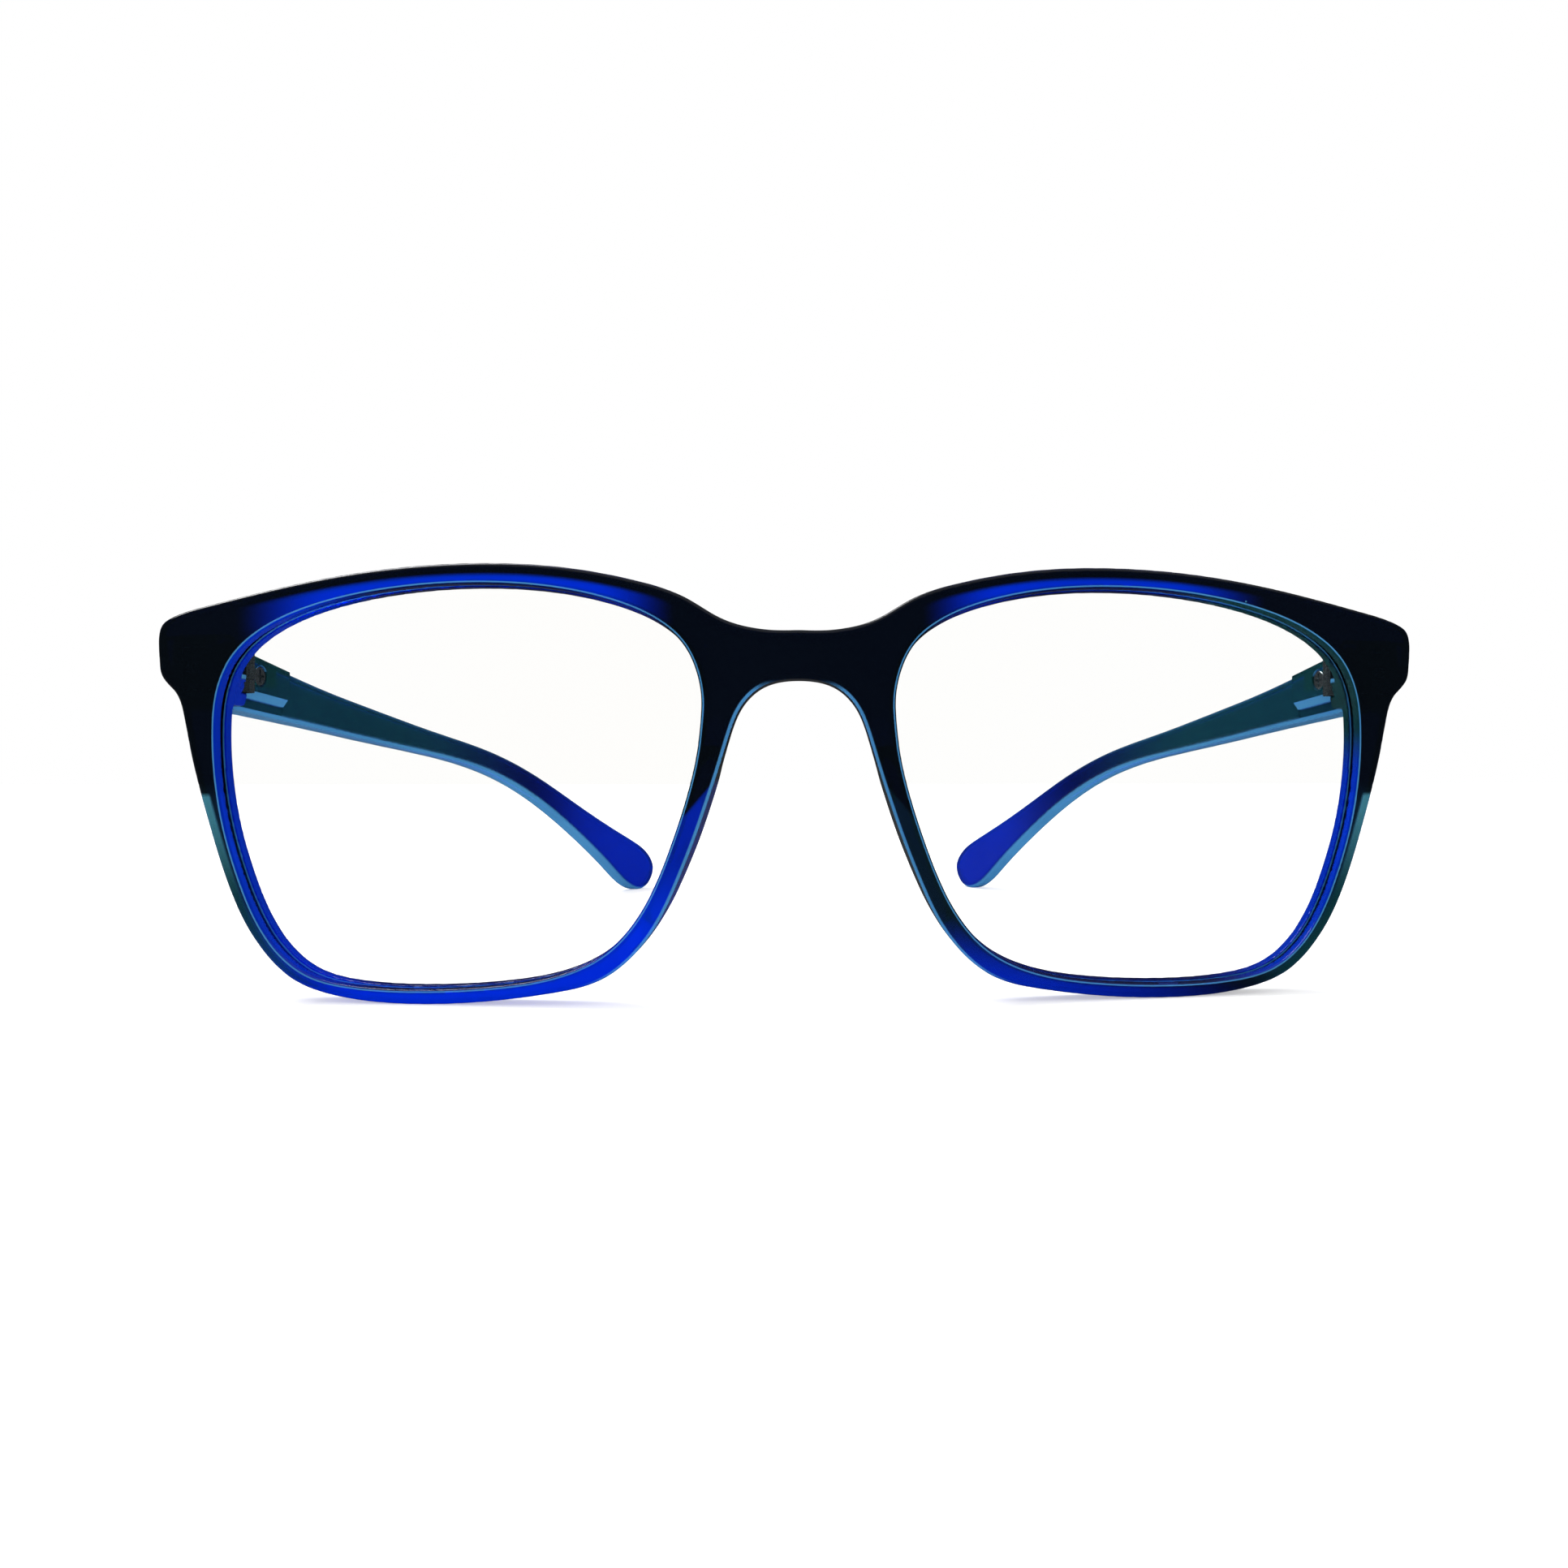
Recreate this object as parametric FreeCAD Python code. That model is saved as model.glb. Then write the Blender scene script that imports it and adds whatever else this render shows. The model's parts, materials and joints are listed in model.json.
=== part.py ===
import FreeCAD, Part
import math
import os

# Full-rim plastic glasses: an injection-moulded front with moulded nose pads, two plano
# lenses in the rims' grooves, and two temples on three-knuckle screw hinges.
# Millimetres, +Z up. The wearer looks along -Y and the temples run towards +Y, so +X is
# the wearer's left. The origin is under the middle of the glasses, on the surface that the
# rims and the temple tips stand on. The temples are drawn a little short of fully open,
# where a snug hinge leaves them when the glasses are put down.

V = FreeCAD.Vector
UP = V(0, 0, 1)

# ---- driving dimensions ---------------------------------------------------------------
OVERALL_DEPTH = 146.2        # bridge to temple tip
FRONT_Y = -OVERALL_DEPTH / 2
FRONT_RADIUS = 285.0         # spherical curve of the front and of the lenses
CURVE_HEIGHT = 25.4          # height of the sphere's centre: mid height of the lenses
RIM_DEPTH = 4.4              # front to back of the rims and the bridge

LENS_THICKNESS = 1.8
LENS_SETBACK = 1.2           # front of the lens behind the front of the rim
BEVEL_HEIGHT = 0.55          # how far the lens edge reaches into the groove
BEVEL_THICKNESS = 1.0
LENS_CLEARANCE = 0.05

PAD_MIDDLE = (12.4, 5.0, 17.6)    # nose pad: middle, measured back from the bridge
PAD_HALF_SIZE = (3.2, 5.0, 10.5)  # half width, half depth and half length
PAD_TILT = 19.7                   # lean of the pad, along the nasal edge of the rim

END_PIECE_DEPTH = 14.6       # bridge front to the back face of the end pieces
END_PIECE_INNER_X = 62.2
END_PIECE_Z = (32.2, 39.6)
END_PIECE_ROUND = 0.4

HINGE_X = 63.2
HINGE_Y = FRONT_Y + END_PIECE_DEPTH
HINGE_Z = (33.8, 38.6)
MIDDLE_KNUCKLE_Z = (35.3, 37.1)
KNUCKLE_RADIUS = 1.25
KNUCKLE_GAP = 0.05
POCKET_RADIUS = 1.6
PIVOT_RADIUS = 0.7
PIVOT_HOLE_RADIUS = 0.73
PIVOT_HEAD_RADIUS = 1.05
PIVOT_HEAD_HEIGHT = 0.6
PIVOT_END_RECESS = 0.2       # the screw ends this far inside the bottom knuckle
LEAF_THICKNESS = 0.8
FIT = 0.04                   # clearance of a metal leaf in its moulded seat

FRONT_LEAF_X = (64.8, 68.0)  # plate sunk in the back face of the end piece
FRONT_LEAF_SINK = 0.2        # how far it lies below that face
FRONT_SCREW = (66.6, 36.2)   # x and z of its screw

REST_ANGLE = 10.5            # how far each temple is folded in from fully open
TEMPLE_INNER = 2.0           # inner face of the temple, outboard of the hinge axis
TEMPLE_THICKNESS = 3.4
TIP_THICKNESS = 2.8
BUTT_FLARE = 1.2             # extra thickness where the temple meets the end piece
FLARE_LENGTH = 12.0
TEMPLE_START = 0.1
TEMPLE_REACH = 134.4
EAR_CURVE_START = 75.0       # the temple is straight in plan up to here
EAR_CURVE_IN = 8.7           # how far the tip then curves inwards
OUTER_STATIONS = (TEMPLE_START, 8, 18, 32, 52)    # where the outer face's curve is set out
EAR_STATIONS = (EAR_CURVE_START, 90, 105, 120, TEMPLE_REACH + 2)
TEMPLE_ROUND = 0.8
LONG_EDGE = 8.0              # edges longer than this run along the temple

BLOCK_INNER = 0.7            # inner face of the raised hinge block
BLOCK_ALONG = (1.7, 11.3)
BLOCK_BOTTOM_Z = 33.7        # at the hinge axis
BLOCK_SLOPE = -0.095         # its lower edge runs parallel to the temple's
BLOCK_CORNER = 0.9           # cut-off lower rear corner
BLOCK_CHAMFER = 0.8
BLOCK_ROOT = 1.0             # how far the block reaches into the arm
BLOCK_TOP_DROP = 0.5         # its top edge lies this far below the temple's
RELIEF_DEPTH = 0.1           # the arm's inner face is set back this much around the block
RELIEF_END = 11.0

TEMPLE_LEAF_W = (1.3, 2.1)   # plate in the block, outboard of the hinge axis
TEMPLE_LEAF_ALONG = (1.0, 8.0)
TEMPLE_LEAF_Z = (34.8, 37.0)
WEB_INNER = 0.45             # inner face of the web from the knuckle to the plate
WEB_START = 0.2
TEMPLE_SCREW_ALONG = 4.6
TEMPLE_SCREW_Z = 36.0

LEAF_SCREW_SHANK = 0.6
LEAF_SCREW_LENGTH = 2.9
SCREW_HOLE_CLEARANCE = 0.02
TEMPLE_SCREW_HEAD = (1.2, 0.5)    # radius and height
FRONT_SCREW_HEAD = (1.1, 0.5)
HEAD_CLEARANCE = 0.08
LEAF_SCREW_HOLE = 4.2        # depth of its hole in the plastic
CROSS_SIZE = 1.3             # driver cross in the screw heads, per head radius
CROSS_WIDTH = 0.3
CROSS_DEPTH = 0.3

# ---- clear distances: tools and outlines reach this far, past all that they shape ----------
OVERCUT = 1.0
DRAW_Y = FRONT_Y - 2         # front-view outlines are drawn here and run back
DRAW_DEPTH = 40.0
OUTER_X = 75.0               # outboard of the whole part
BEHIND_PADS = 20.0           # depth behind the front's surface
TEMPLE_WIDTH = (-20.0, 20.0)  # holds the temple's whole plan, curved tip included
TEMPLE_HEIGHT = (-5.0, 55.0)

# ---- outlines in front view: x from the middle, z above the ground ------------------------
OUTER_HALF = [
    (0, 39.9), (4.5, 40.0), (8, 40.95), (12, 43.25), (17, 45.0), (25, 46.5), (34, 47.0),
    (44, 46.5), (55, 44.85), (64, 42.95), (68.2, 41.8), (69.6, 40.9), (70, 39.4),
    (69.85, 37.0), (69.6, 35.5), (68.9, 34.5), (67.8, 33.4), (67.0, 31.6), (66.5, 29.4),
    (65.6, 25.4), (64.5, 21.4), (62.0, 13.4), (60.35, 9.4), (57.8, 5.4), (54.5, 2.4),
    (50, 0.8), (42, 0.0), (34, 0.3), (26, 1.35), (21, 2.75), (17.4, 5.5), (14.8, 9.0),
    (12.7, 13.4), (11.1, 17.4), (9.7, 21.4), (8.4, 25.4), (7.3, 29.0), (6.2, 31.6),
    (4.0, 33.8), (0, 34.65),
]
LENS_OPENING = [
    (10.3, 31.0), (10.8, 35.4), (12.3, 38.4), (16.2, 41.4), (20.1, 42.9), (25.2, 44.05),
    (34.0, 44.75), (44.2, 44.1), (52.2, 42.4), (57.4, 40.2), (60.95, 37.2), (62.7, 33.2),
    (63.05, 29.4), (62.9, 25.4), (61.5, 17.4), (60.25, 13.4), (58.6, 9.4), (55.9, 5.4),
    (53.0, 3.2), (48.2, 1.95), (41.0, 1.6), (32.0, 2.1), (25.0, 3.45), (20.6, 5.6),
    (17.05, 9.4), (14.1, 15.4), (12.05, 21.4), (10.65, 27.4),
]

# ---- temple in side view: distance along it from the hinge axis, and height ---------------
TEMPLE_SIDE = [
    (0.1, 39.4), (8, 37.85), (21, 35.4), (34, 33.4), (50, 31.1), (68, 28.7), (82, 26.1),
    (95, 22.3), (108, 17.5), (120, 12.9), (127.5, 10.0), (132.3, 7.4), (134.4, 4.3),
    (133.0, 1.3), (129.8, 0.0), (126.0, 0.7), (119, 4.8), (108, 11.4), (95, 17.7),
    (82, 22.2), (68, 25.2), (50, 27.4), (34, 28.9), (21, 30.2), (8, 31.45), (0.1, 32.2),
]


# ---- building helpers -------------------------------------------------------------------
def sphere(depth):
    """The ball whose surface lies the given depth behind the front's surface."""
    ball = Part.makeSphere(FRONT_RADIUS - depth)
    ball.translate(V(0, FRONT_Y + FRONT_RADIUS, CURVE_HEIGHT))
    return ball


def closed_curve(outline):
    curve = Part.BSplineCurve()
    curve.interpolate(Points=[V(x, DRAW_Y, z) for x, z in outline], PeriodicFlag=True)
    return curve


def prism(outline):
    """The outline of the front view, run straight back from in front of the glasses."""
    face = Part.Face(Part.Wire([closed_curve(outline).toShape()]))
    return face.extrude(V(0, DRAW_DEPTH, 0))


def curved_slab(outline, front_depth, back_depth):
    """The part of a prism between two depths behind the front's surface."""
    return prism(outline).common(sphere(front_depth)).cut(sphere(back_depth))


def grown(outline, distance):
    """The outline moved outwards, square to its own smooth curve."""
    curve = closed_curve(outline)
    pairs = zip(outline, outline[1:] + outline[:1])
    turn = sum(a[0] * b[1] - b[0] * a[1] for a, b in pairs)
    step = math.copysign(distance, turn)
    moved = []
    for x, z in outline:
        tangent = curve.tangent(curve.parameter(V(x, DRAW_Y, z)))[0]
        moved.append((x + tangent.z * step, z - tangent.x * step))
    return moved


def box(x, y, z):
    """A box from its low and high x, y and z."""
    return Part.makeBox(x[1] - x[0], y[1] - y[0], z[1] - z[0], V(x[0], y[0], z[0]))


def rod(radius, start, direction, length):
    return Part.makeCylinder(radius, length, start, direction)


def mirrored(shape):
    return shape.mirror(V(0, 0, 0), V(1, 0, 0))


def place_on_temple(shape):
    """Moves a shape drawn as (outboard, along, z) from the hinge axis to the rest pose."""
    shape.translate(V(HINGE_X, HINGE_Y, 0))
    shape.rotate(V(HINGE_X, HINGE_Y, 0), UP, REST_ANGLE)
    return shape


def knuckle(x, y, low, high):
    return rod(KNUCKLE_RADIUS, V(x, y, low), UP, high - low)


def pivot_bore(x, y):
    length = HINGE_Z[1] - HINGE_Z[0] + 2 * OVERCUT
    return rod(PIVOT_HOLE_RADIUS, V(x, y, HINGE_Z[0] - OVERCUT), UP, length)


# ---- the front --------------------------------------------------------------------------
def outer_outline():
    mirrored_half = [(-x, z) for x, z in reversed(OUTER_HALF[1:-1])]
    return OUTER_HALF + mirrored_half


def rims_and_bridge():
    """The curved plate of the front, with its two lens openings."""
    opening = prism(LENS_OPENING)
    return curved_slab(outer_outline(), 0, RIM_DEPTH).cut([opening, mirrored(opening)])


def end_piece():
    """The thick outer corner behind the rim, which carries the hinge."""
    zone = box((END_PIECE_INNER_X, OUTER_X), (FRONT_Y, HINGE_Y), END_PIECE_Z)
    corner = prism(outer_outline()).common(zone).common(sphere(RIM_DEPTH / 2))
    back = [e for e in corner.Edges if e.BoundBox.YMin > HINGE_Y - 0.01]
    return corner.makeFillet(END_PIECE_ROUND, back).cut(prism(LENS_OPENING))


def nose_pad():
    """A rounded fin behind the nasal rim, flush with the rim's nasal edge."""
    ball = Part.makeSphere(1)
    stretch = FreeCAD.Matrix()
    stretch.scale(V(*PAD_HALF_SIZE))
    pad = ball.transformGeometry(stretch)
    pad.rotate(V(0, 0, 0), V(0, 1, 0), -PAD_TILT)
    pad.translate(V(PAD_MIDDLE[0], FRONT_Y + PAD_MIDDLE[1], PAD_MIDDLE[2]))
    behind_rim = curved_slab(outer_outline(), RIM_DEPTH / 2, BEHIND_PADS)
    return pad.common(behind_rim).cut(prism(LENS_OPENING))


def hinge_seat():
    """What the front hinge leaf, its screw and the knuckles take out of the end piece."""
    floor = HINGE_Z[0] - FIT
    pocket = rod(POCKET_RADIUS, V(HINGE_X, HINGE_Y, floor), UP, END_PIECE_Z[1] - floor + OVERCUT)
    seat = box((HINGE_X, FRONT_LEAF_X[1] + FIT),
               (HINGE_Y - FRONT_LEAF_SINK - LEAF_THICKNESS - FIT, HINGE_Y + OVERCUT),
               (floor, HINGE_Z[1] + FIT))
    screw = rod(LEAF_SCREW_SHANK + SCREW_HOLE_CLEARANCE,
                V(FRONT_SCREW[0], HINGE_Y, FRONT_SCREW[1]), V(0, -1, 0), LEAF_SCREW_HOLE)
    return pocket.fuse([seat, screw])


def lens_groove():
    middle = LENS_SETBACK + LENS_THICKNESS / 2
    half = BEVEL_THICKNESS / 2 + LENS_CLEARANCE
    outline = grown(LENS_OPENING, BEVEL_HEIGHT + LENS_CLEARANCE)
    return curved_slab(outline, middle - half, middle + half)


def front_frame():
    extras = [end_piece(), nose_pad()]
    body = rims_and_bridge().fuse(extras + [mirrored(shape) for shape in extras])
    body = body.removeSplitter()
    for tool in (lens_groove(), hinge_seat()):
        body = body.cut(tool).cut(mirrored(tool))
    return body


def lens():
    """A plano lens with the front's curve and an edge tongue that fits the rim's groove."""
    body = curved_slab(grown(LENS_OPENING, -LENS_CLEARANCE),
                       LENS_SETBACK, LENS_SETBACK + LENS_THICKNESS)
    middle = LENS_SETBACK + LENS_THICKNESS / 2
    half = BEVEL_THICKNESS / 2
    tongue = curved_slab(grown(LENS_OPENING, BEVEL_HEIGHT), middle - half, middle + half)
    return body.fuse(tongue).removeSplitter()


# ---- the temple -------------------------------------------------------------------------
def temple_inner_face(along):
    """Outboard distance of the temple's inner face at a distance along it."""
    share = max(0.0, along - EAR_CURVE_START) / (TEMPLE_REACH - EAR_CURVE_START)
    return TEMPLE_INNER - EAR_CURVE_IN * share**1.8


def temple_outer_face(along):
    taper = (TEMPLE_THICKNESS - TIP_THICKNESS) * along / TEMPLE_REACH
    flare = BUTT_FLARE * math.exp(-along / FLARE_LENGTH)
    return temple_inner_face(along) + TEMPLE_THICKNESS - taper + flare


def side_view():
    """The temple's side view, run across the full width."""
    curve = Part.BSplineCurve()
    curve.interpolate(Points=[V(TEMPLE_WIDTH[0], along, z) for along, z in TEMPLE_SIDE])
    butt = Part.LineSegment(curve.EndPoint, curve.StartPoint)
    face = Part.Face(Part.Wire([curve.toShape(), butt.toShape()]))
    return face.extrude(V(TEMPLE_WIDTH[1] - TEMPLE_WIDTH[0], 0, 0))


def plan_view():
    """The temple seen from above, run up through its full height: flat inside up to the ear."""
    floor = TEMPLE_HEIGHT[0]
    ear = Part.BSplineCurve()
    ear_points = [V(temple_inner_face(along), along, floor) for along in EAR_STATIONS]
    ahead = V(0, 1, 0)
    leaving = V(temple_inner_face(TEMPLE_REACH + 2) - temple_inner_face(TEMPLE_REACH + 1), 1, 0)
    ear.interpolate(Points=ear_points, InitialTangent=ahead, FinalTangent=leaving)
    outer = Part.BSplineCurve()
    stations = OUTER_STATIONS + EAR_STATIONS
    outer.interpolate(Points=[V(temple_outer_face(along), along, floor) for along in stations])
    flat = Part.LineSegment(V(TEMPLE_INNER, TEMPLE_START, floor), ear.StartPoint)
    butt = Part.LineSegment(flat.StartPoint, outer.StartPoint)
    tip = Part.LineSegment(outer.EndPoint, ear.EndPoint)
    edges = [curve.toShape() for curve in (butt, outer, tip, ear, flat)]
    face = Part.Face(Part.Wire(Part.__sortEdges__(edges)))
    return face.extrude(V(0, 0, TEMPLE_HEIGHT[1] - floor))


def temple_arm(side):
    arm = side.common(plan_view())
    long_edges = [edge for edge in arm.Edges if edge.Length > LONG_EDGE]
    relief = box((TEMPLE_WIDTH[0], TEMPLE_INNER + RELIEF_DEPTH),
                 (TEMPLE_START - OVERCUT, RELIEF_END), TEMPLE_HEIGHT)
    return arm.makeFillet(TEMPLE_ROUND, long_edges).cut(relief)


def hinge_block(side):
    """The raised block on the inner face, chamfered below and at its rear end."""
    start, end = BLOCK_ALONG
    low_start = BLOCK_BOTTOM_Z + BLOCK_SLOPE * start
    low_end = BLOCK_BOTTOM_Z + BLOCK_SLOPE * end
    corners = [(start, low_start), (end - BLOCK_CORNER, low_end), (end, low_end + BLOCK_CORNER),
               (end, TEMPLE_HEIGHT[1]), (start, TEMPLE_HEIGHT[1])]
    points = [V(BLOCK_INNER, along, z) for along, z in corners]
    face = Part.Face(Part.makePolygon(points + points[:1]))
    block = face.extrude(V(TEMPLE_INNER + BLOCK_ROOT - BLOCK_INNER, 0, 0))
    edges = [e for e in block.Edges
             if e.BoundBox.XMax < BLOCK_INNER + 0.01
             and e.BoundBox.YMax > start + 0.01
             and e.BoundBox.ZMin < TEMPLE_HEIGHT[1] - 0.01]
    lowered = side.translated(V(0, 0, -BLOCK_TOP_DROP))
    return block.makeChamfer(BLOCK_CHAMFER, edges).common(lowered)


def temple_leaf_seat():
    """Slot for the temple's hinge leaf, with the hole for its screw."""
    slot = box((TEMPLE_LEAF_W[0] - FIT, TEMPLE_LEAF_W[1] + FIT),
               (-OVERCUT, TEMPLE_LEAF_ALONG[1] + FIT),
               (TEMPLE_LEAF_Z[0] - FIT, MIDDLE_KNUCKLE_Z[1] + FIT))
    radius = TEMPLE_SCREW_HEAD[0] + HEAD_CLEARANCE
    head = rod(radius, V(0, TEMPLE_SCREW_ALONG, TEMPLE_SCREW_Z), V(1, 0, 0), TEMPLE_LEAF_W[0])
    shank = rod(LEAF_SCREW_SHANK + SCREW_HOLE_CLEARANCE,
                V(0, TEMPLE_SCREW_ALONG, TEMPLE_SCREW_Z), V(1, 0, 0), LEAF_SCREW_HOLE)
    return slot.fuse([head, shank])


def temple():
    side = side_view()
    body = temple_arm(side).fuse(hinge_block(side)).removeSplitter()
    return place_on_temple(body.cut(temple_leaf_seat()))


# ---- hinge hardware -----------------------------------------------------------------------
def front_hinge_leaf():
    """Plate on the back of the end piece, with the top and bottom knuckles."""
    back = HINGE_Y - FRONT_LEAF_SINK
    depth = (back - LEAF_THICKNESS, back)
    leaf = box(FRONT_LEAF_X, depth, HINGE_Z)
    for low, high in ((HINGE_Z[0], MIDDLE_KNUCKLE_Z[0] - KNUCKLE_GAP),
                      (MIDDLE_KNUCKLE_Z[1] + KNUCKLE_GAP, HINGE_Z[1])):
        web = box((HINGE_X, FRONT_LEAF_X[0]), depth, (low, high))
        leaf = leaf.fuse([web, knuckle(HINGE_X, HINGE_Y, low, high)])
    hole_start = V(FRONT_SCREW[0], back, FRONT_SCREW[1])
    hole = rod(LEAF_SCREW_SHANK + SCREW_HOLE_CLEARANCE, hole_start, V(0, -1, 0),
               LEAF_THICKNESS + OVERCUT)
    head_radius, head_height = FRONT_SCREW_HEAD
    recess = rod(head_radius + HEAD_CLEARANCE, hole_start, V(0, -1, 0), head_height)
    return leaf.removeSplitter().cut([pivot_bore(HINGE_X, HINGE_Y), hole, recess])


def temple_hinge_leaf():
    """Plate in the hinge block, with the middle knuckle."""
    web = box((WEB_INNER, TEMPLE_LEAF_W[1]), (WEB_START, BLOCK_ALONG[0] - FIT),
              MIDDLE_KNUCKLE_Z)
    plate = box(TEMPLE_LEAF_W, TEMPLE_LEAF_ALONG, TEMPLE_LEAF_Z)
    leaf = knuckle(0, 0, *MIDDLE_KNUCKLE_Z).fuse([web, plate]).removeSplitter()
    hole = rod(LEAF_SCREW_SHANK + SCREW_HOLE_CLEARANCE,
               V(0, TEMPLE_SCREW_ALONG, TEMPLE_SCREW_Z), V(1, 0, 0), LEAF_SCREW_HOLE)
    return place_on_temple(leaf.cut([pivot_bore(0, 0), hole]))


def driver_cross(size):
    """Two crossed bars to cut into a screw head whose top is at the origin, facing +Z."""
    half_size = size / 2
    half_width = CROSS_WIDTH / 2
    height = (-CROSS_DEPTH, CROSS_DEPTH)
    bar = box((-half_size, half_size), (-half_width, half_width), height)
    return bar.fuse(box((-half_width, half_width), (-half_size, half_size), height))


def screw(head_size, shank_radius, length):
    """A screw along Z: the head's top at the origin facing +Z, the shank down to -length."""
    radius, height = head_size
    head = rod(radius, V(0, 0, -height), UP, height)
    top = [edge for edge in head.Edges if edge.BoundBox.ZMin > -0.01]
    head = head.makeFillet(height / 2, top)
    shank = rod(shank_radius, V(0, 0, -length), UP, length - height / 2)
    return head.fuse(shank).removeSplitter().cut(driver_cross(CROSS_SIZE * radius))


def turned(shape, position, facing):
    """Moves a shape from the origin, facing +Z, to a position and a new direction."""
    shape.Placement = FreeCAD.Placement(position, FreeCAD.Rotation(UP, facing))
    return shape


def pivot_screw():
    length = HINGE_Z[1] - HINGE_Z[0] + PIVOT_HEAD_HEIGHT - PIVOT_END_RECESS
    shape = screw((PIVOT_HEAD_RADIUS, PIVOT_HEAD_HEIGHT), PIVOT_RADIUS, length)
    return turned(shape, V(HINGE_X, HINGE_Y, HINGE_Z[1] + PIVOT_HEAD_HEIGHT), UP)


def front_leaf_screw():
    shape = screw(FRONT_SCREW_HEAD, LEAF_SCREW_SHANK, LEAF_SCREW_LENGTH)
    place = V(FRONT_SCREW[0], HINGE_Y - FRONT_LEAF_SINK, FRONT_SCREW[1])
    return turned(shape, place, V(0, 1, 0))


def temple_leaf_screw():
    shape = screw(TEMPLE_SCREW_HEAD, LEAF_SCREW_SHANK, LEAF_SCREW_LENGTH)
    top = TEMPLE_LEAF_W[0] - TEMPLE_SCREW_HEAD[1]
    shape = turned(shape, V(top, TEMPLE_SCREW_ALONG, TEMPLE_SCREW_Z), V(-1, 0, 0))
    return place_on_temple(shape)


# ---- export -------------------------------------------------------------------------------
def export(name, shape):
    count = len(shape.Solids)
    print(name, "solids", count, "valid", shape.isValid(), "mm3", round(shape.Volume, 1))
    shape.exportStep("parts/" + name + ".step")


PAIRS = {
    "lens": lens,
    "temple": temple,
    "front_hinge_leaf": front_hinge_leaf,
    "temple_hinge_leaf": temple_hinge_leaf,
    "pivot_screw": pivot_screw,
    "front_leaf_screw": front_leaf_screw,
    "temple_leaf_screw": temple_leaf_screw,
}

os.makedirs("parts", exist_ok=True)
export("front_frame", front_frame())
for name, build in PAIRS.items():
    left = build()
    export(name + "_left", left)
    export(name + "_right", mirrored(left))
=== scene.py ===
import json
import math

import bpy
import numpy as np
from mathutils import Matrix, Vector


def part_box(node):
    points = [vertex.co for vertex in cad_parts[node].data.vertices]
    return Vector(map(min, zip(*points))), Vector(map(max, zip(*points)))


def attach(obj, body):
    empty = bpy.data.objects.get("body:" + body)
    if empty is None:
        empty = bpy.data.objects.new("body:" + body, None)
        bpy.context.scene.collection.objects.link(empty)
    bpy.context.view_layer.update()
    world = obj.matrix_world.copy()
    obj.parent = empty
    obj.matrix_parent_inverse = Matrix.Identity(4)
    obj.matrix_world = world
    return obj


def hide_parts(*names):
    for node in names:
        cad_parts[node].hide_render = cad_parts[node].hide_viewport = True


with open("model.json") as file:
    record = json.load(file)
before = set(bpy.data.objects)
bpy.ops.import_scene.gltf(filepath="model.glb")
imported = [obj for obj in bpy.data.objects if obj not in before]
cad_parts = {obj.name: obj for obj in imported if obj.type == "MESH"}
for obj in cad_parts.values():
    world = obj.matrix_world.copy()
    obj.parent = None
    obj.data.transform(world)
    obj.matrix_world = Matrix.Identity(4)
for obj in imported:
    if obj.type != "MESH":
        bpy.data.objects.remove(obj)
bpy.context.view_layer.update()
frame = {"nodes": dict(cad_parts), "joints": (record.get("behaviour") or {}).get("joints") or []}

# Looks for a pair of translucent deep blue glasses. The front is remade here with rounded,
# polished edges, inside the box of its CAD solid. The temples, the lenses and the hinge
# hardware stay as they are in CAD and get their materials.

# ---- sizes of the front, in metres --------------------------------------------------------
MM = 0.001
FRONT_RADIUS = 285.0 * MM      # spherical curve of the front
CURVE_HEIGHT = 25.4 * MM       # height of the sphere's centre
RIM_DEPTH = 4.4 * MM           # front to back of the rims and the bridge
END_PIECE_DEPTH = 14.6 * MM    # front of the bridge to the back of the end pieces
END_PIECE_INNER_X = 62.2 * MM
END_PIECE_Z = (32.2 * MM, 39.6 * MM)
LENS_THICKNESS = 1.8 * MM
LENS_SETBACK = 1.2 * MM        # front of the lens behind the front of the rim
GROOVE_WIDTH = 1.1 * MM
GROOVE_DEPTH = 0.6 * MM
PAD_MIDDLE = np.array((12.4, 5.0, 17.6)) * MM    # nose pad, its y measured back from the bridge
PAD_HALF_SIZE = np.array((3.2, 5.0, 10.5)) * MM
PAD_TILT = math.radians(19.7)
POCKET_RADIUS = 1.6 * MM       # pocket round the knuckles
POCKET_Z = (33.76 * MM, 45 * MM)
SEAT_OUTER_X = 68.04 * MM      # seat of the front leaf
SEAT_Z = (33.76 * MM, 38.64 * MM)
SEAT_DEPTH = 1.04 * MM

# ---- rounded edges and fillets ------------------------------------------------------------
OUTER_ROUND = 0.5 * MM
OPENING_ROUND = 0.3 * MM
BACK_ROUND = 0.6 * MM          # back of the end pieces
INNER_SIDE_ROUND = 0.4 * MM    # inner side of the end pieces
BURIED_ROUND = 0.2 * MM        # where the end pieces and the pads start, inside the rim
END_PIECE_FILLET = 0.5 * MM
PAD_FILLET = 1.5 * MM
GROOVE_ROUND = 0.08 * MM
SEAT_ROUND = 0.15 * MM
MIDDLE_BLEND = 0.7 * MM        # half the width over which the left and right halves blend

# ---- fineness of the mesh and of its distance tables --------------------------------------
VOXEL = 0.28 * MM
ON_SURFACE = 0.002 * MM        # CAD points this near the front's sphere lie on it
OUTLINE_SPACING = 0.2 * MM
TABLE_STEP = 0.2 * MM
TABLE_LOW = np.array((-3.0, -3.0)) * MM
TABLE_HIGH = np.array((74.0, 51.0)) * MM
TABLE_CHUNK = 4000             # points measured at a time
GRADIENT_REACH = 0.04 * MM
SETTLE_ROUNDS = 2
LEAST_SLOPE_SQUARED = 0.2

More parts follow.
